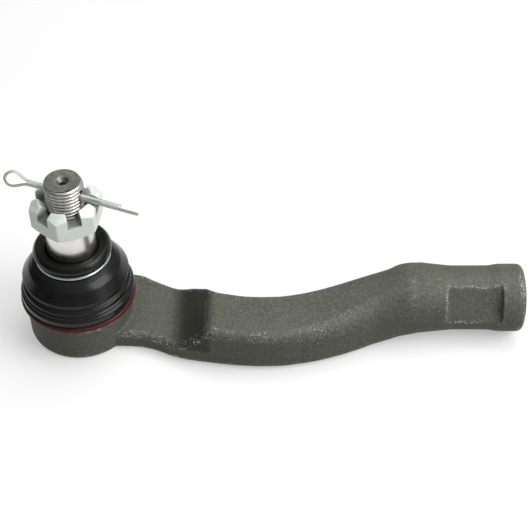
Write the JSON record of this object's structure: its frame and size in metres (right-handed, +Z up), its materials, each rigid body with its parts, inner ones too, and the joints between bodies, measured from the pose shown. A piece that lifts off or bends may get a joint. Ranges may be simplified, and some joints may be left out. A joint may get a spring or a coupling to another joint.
{
  "type": "tie rod end",
  "caption": "Outer tie rod end: a forged, cranked arm with a threaded socket, a ball stud in a booted housing, and a slotted nut with a split pin.",
  "frame": {"origin": "centre of the ball housing's lower face, on the stud's axis", "axes": "+Z up along the stud, +X along the arm towards the threaded socket"},
  "size_m": [0.1956, 0.0479, 0.0745],
  "materials": {
    "forging": "forged steel, phosphate coated, dark olive grey",
    "bright_steel": "turned and polished steel",
    "seat_resin": "moulded bearing resin",
    "spring_steel": "hardened spring steel",
    "cover_plate": "pressed steel plate",
    "seal_rubber": "moulded rubber",
    "boot_rubber": "smooth moulded rubber",
    "red_ring": "dull red elastic ring",
    "ring_wire": "bright spring wire",
    "zinc_plate": "pale zinc plate",
    "pin_zinc": "dull zinc plate"
  },
  "bodies": {
    "housing": {"tie_rod_body": "forging", "upper_ball_seat": "seat_resin", "lower_ball_seat": "seat_resin", "preload_spring": "spring_steel", "end_cover": "cover_plate", "cover_seal_ring": "seal_rubber", "boot_base_ring": "red_ring"},
    "boot_follower": {"dust_boot": "boot_rubber"},
    "boot_neck": {"boot_neck_ring": "ring_wire"},
    "stud": {"ball_stud": "bright_steel"},
    "nut": {"castle_nut": "zinc_plate"},
    "split_pin": {"cotter_pin": "pin_zinc"}
  },
  "joints": [
    {"name": "stud_tilt_sideways", "type": "hinge", "parent": "housing", "child": "boot_follower", "pos_m": [0, 0, 0.0175], "axis": [1, 0, 0], "range_deg": [-18, 18], "deforming": ["dust_boot"]},
    {"name": "stud_tilt_lengthways", "type": "hinge", "parent": "boot_follower", "child": "boot_neck", "pos_m": [0, 0, 0.0175], "axis": [0, 1, 0], "range_deg": [-18, 18], "deforming": ["dust_boot"]},
    {"name": "stud_spin", "type": "hinge", "parent": "boot_neck", "child": "stud", "pos_m": [0, 0, 0.0175], "axis": [0, 0, 1], "continuous": true},
    {"name": "nut_play", "type": "hinge", "parent": "stud", "child": "nut", "pos_m": [0, 0, 0.061], "axis": [0, 0, 1], "range_deg": [-12, 0.5]},
    {"name": "pin_draw", "type": "slide", "parent": "stud", "child": "split_pin", "axis": [-0.9609, 0.2485, 0.1219], "range_m": [0, 0.042]}
  ]
}
